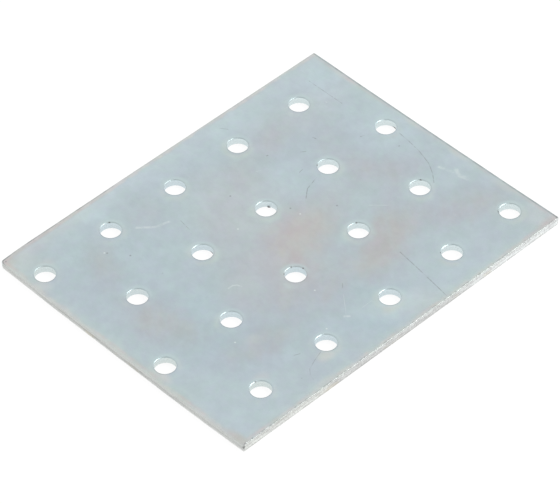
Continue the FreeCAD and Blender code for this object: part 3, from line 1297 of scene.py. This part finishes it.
# Painted reflection: on the short ends the torn zone is lighter low down and near white at its foot
# towards the corners, standing in for the white floor's reflection.
end_high = mixed(mottle, tone(184, 186, 184), tone(206, 208, 206))
end_low = mixed(mottle, tone(204, 206, 204), tone(226, 228, 226))
on_sides = mixed(height, side_low, side_high)
on_sides = vary_along(split, on_sides, (1.16, 1.17, 1.15), (1.24, 1.26, 1.27))
from_middle = maths("ABSOLUTE", split["Y"])
end_low = mixed(ranged(from_middle, 20, 38, 0, 0.5), end_low, PAINTED_FLOOR_REFLECTION)
end_high = mixed(ranged(from_middle, 14, 34, 0, 0.3), end_high, PALE_END)
colour = mixed(ends, on_sides, mixed(height, end_low, end_high))
stain = ranged(grain_mask(place, 0.14), 0.54, 0.68, 0, 0.3)
colour = mark_edge(place, ends, mixed(stain, colour, STRAW_STAIN))
finish_with(shader, colour, ranged(crystals, 0.3, 0.7, 0.5, 0.68), crystals, 0.4, 0.05)

for material in (plated_face, hole_wall_finish, sheared_land, torn_zone):
    plate.data.materials.append(material)

# %% [markdown]
# The dressed plate takes the place of the CAD node and moves with its body.

# %% Hand the plate to the frame
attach(plate, "root")
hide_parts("plate")

# %% [markdown]
# The floor is white. Rays from the camera and from shiny or clear surfaces see it at full white,
# less a trace of the plate's shadow, and all other rays see plain white paint.

# %% Floor
FLOOR_SIZE = 6
PAINT = {"Metallic": 0, "Base Color": (0.8, 0.8, 0.8, 1), "Roughness": 1.0}
SHADOW_TRACE = (0.15, 0.15, 0.15, 1)
FLOOR_GLOW = 0.88
bpy.ops.object.select_all(action="DESELECT")
bpy.ops.mesh.primitive_grid_add(x_subdivisions=4, y_subdivisions=4, size=FLOOR_SIZE, location=ORIGIN)
floor = bpy.context.object
floor.name = "floor"
white, tree, shader = new_material("white_floor")
for name, value in {**PAINT, "Specular IOR Level": 0.0}.items():
    shader.inputs[name].default_value = value
path = add_node(tree, "LightPath").outputs
seen = higher(path["Is Camera Ray"], path["Is Glossy Ray"])
seen = higher(seen, path["Is Transmission Ray"])
faint = add_node(tree, "BsdfDiffuse", Color=SHADOW_TRACE)
glow = add_node(tree, "Emission", Strength=FLOOR_GLOW)
shown = add_node(tree, "AddShader")
feed(shown.inputs[0], faint.outputs["BSDF"])
feed(shown.inputs[1], glow.outputs["Emission"])
choose = add_node(tree, "MixShader", Fac=seen)
feed(choose.inputs[1], shader.outputs["BSDF"])
feed(choose.inputs[2], shown.outputs["Shader"])
feed(tree.nodes["Material Output"].inputs["Surface"], choose.outputs["Shader"])
floor.data.materials.append(white)

# %% [markdown]
# The studio is white all round, with a dimmer ceiling over the camera that draws a dark line into
# the rounded mouths, and one soft box at the camera's right that lights their far-left rims.

# %% World and lamp
CEILING_TOWARDS = Vector((-0.35, -0.38, 0.86)).normalized()
CEILING_DIMMED = 0.62
world = bpy.data.worlds.new("studio")
scene.world = world
world.use_nodes = True
tree = world.node_tree
background = tree.nodes["Background"]
direction = add_node(tree, "TexCoord").outputs["Generated"]
towards = vectors("DOT_PRODUCT", direction, tuple(CEILING_TOWARDS), output="Value")
ceiling = ranged(towards, 0.72, 0.95, 1, CEILING_DIMMED)
is_camera = add_node(tree, "LightPath").outputs["Is Camera Ray"]
feed(background.inputs["Strength"], higher(ceiling, is_camera))
background.inputs["Color"].default_value = (1, 1, 1, 1)

KEY_TOWARDS = Vector((0.47, -0.43, 0.77)).normalized()
KEY_DISTANCE = 1
KEY_LONG_WAY = Vector((0.874, 0.267, -0.406))
KEY_LENGTH = 0.75
KEY_BREADTH = 0.18
KEY_WATTS = 3
key_data = bpy.data.lights.new("soft_box", "AREA")
key_data.shape = "ELLIPSE"
key_data.size = KEY_LENGTH
key_data.size_y = KEY_BREADTH
key_data.energy = KEY_WATTS
key = bpy.data.objects.new("soft_box", key_data)
key.location = KEY_TOWARDS * KEY_DISTANCE
across = KEY_LONG_WAY.cross(KEY_TOWARDS).normalized()
facing = Matrix((across.cross(KEY_TOWARDS), across, KEY_TOWARDS)).transposed()
key.rotation_euler = facing.to_euler()
scene.collection.objects.link(key)

# %% [markdown]
# The camera stands off the corner between the plate's short and long near edges and looks down at
# 45 degrees through a long lens. Its place and turn were solved from the holes in the photograph.

# %% Camera
CAMERA_PLACE = (-0.39975, -0.42688, 0.58006)
CAMERA_TURN = (45.118, 0.901, -44.008)
FOCAL_PIXELS = 3613.5
IMAGE_WIDTH = 560
SENSOR_WIDTH = 36
camera_data = bpy.data.cameras.new("camera")
camera_data.sensor_fit = "HORIZONTAL"
camera_data.sensor_width = SENSOR_WIDTH
camera_data.lens = FOCAL_PIXELS / IMAGE_WIDTH * SENSOR_WIDTH
camera_data.clip_start = 0.01
camera = bpy.data.objects.new("camera", camera_data)
camera.location = CAMERA_PLACE
camera.rotation_euler = [math.radians(angle) for angle in CAMERA_TURN]
scene.collection.objects.link(camera)
scene.camera = camera
scene.view_settings.view_transform = "Standard"
